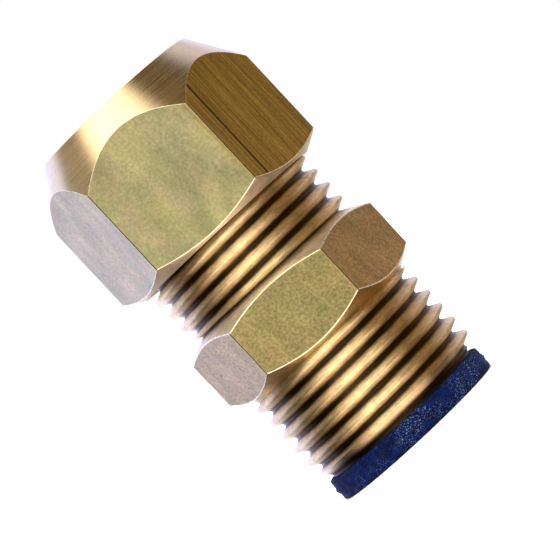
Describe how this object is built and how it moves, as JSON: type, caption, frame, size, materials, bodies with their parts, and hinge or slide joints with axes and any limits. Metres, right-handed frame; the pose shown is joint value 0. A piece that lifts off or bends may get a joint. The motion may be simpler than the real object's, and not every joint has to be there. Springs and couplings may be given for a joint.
{
  "type": "pipe adapter",
  "caption": "Straight brass compression adapter: a tapered hex nut and inner ring grip a plain pipe, and a male pipe thread with a sealing washer screws into a tapped port.",
  "frame": {"origin": "centre of the sealing washer's lower face, on the bore's axis", "axes": "+Z along the bore towards the nut, -Y out of a flat of the body's hexagon"},
  "size_m": [0.0264, 0.0232, 0.0447],
  "materials": {
    "body_brass": "turned, bright",
    "nut_brass": "drawn hexagon bar with turned ends",
    "ring_brass": "turned, smooth",
    "washer_rubber": "moulded, rough at the edge"
  },
  "bodies": {
    "adapter": {"adapter_body": "body_brass", "sealing_washer": "washer_rubber"},
    "ring": {"compression_ring": "ring_brass"},
    "nut": {"compression_nut": "nut_brass"}
  },
  "joints": [
    {"name": "nut_travel", "type": "slide", "parent": "adapter", "child": "ring", "axis": [0, 0, 1], "range_m": [0, 0.00772]},
    {"name": "nut_turn", "type": "hinge", "parent": "ring", "child": "nut", "pos_m": [0, 0, 0.036], "axis": [0, 0, 1], "range_deg": [0, 1530]}
  ],
  "couplings": [
    {"joint": "nut_travel", "follows": "nut_turn", "m_per_rad": 0.00028871}
  ]
}
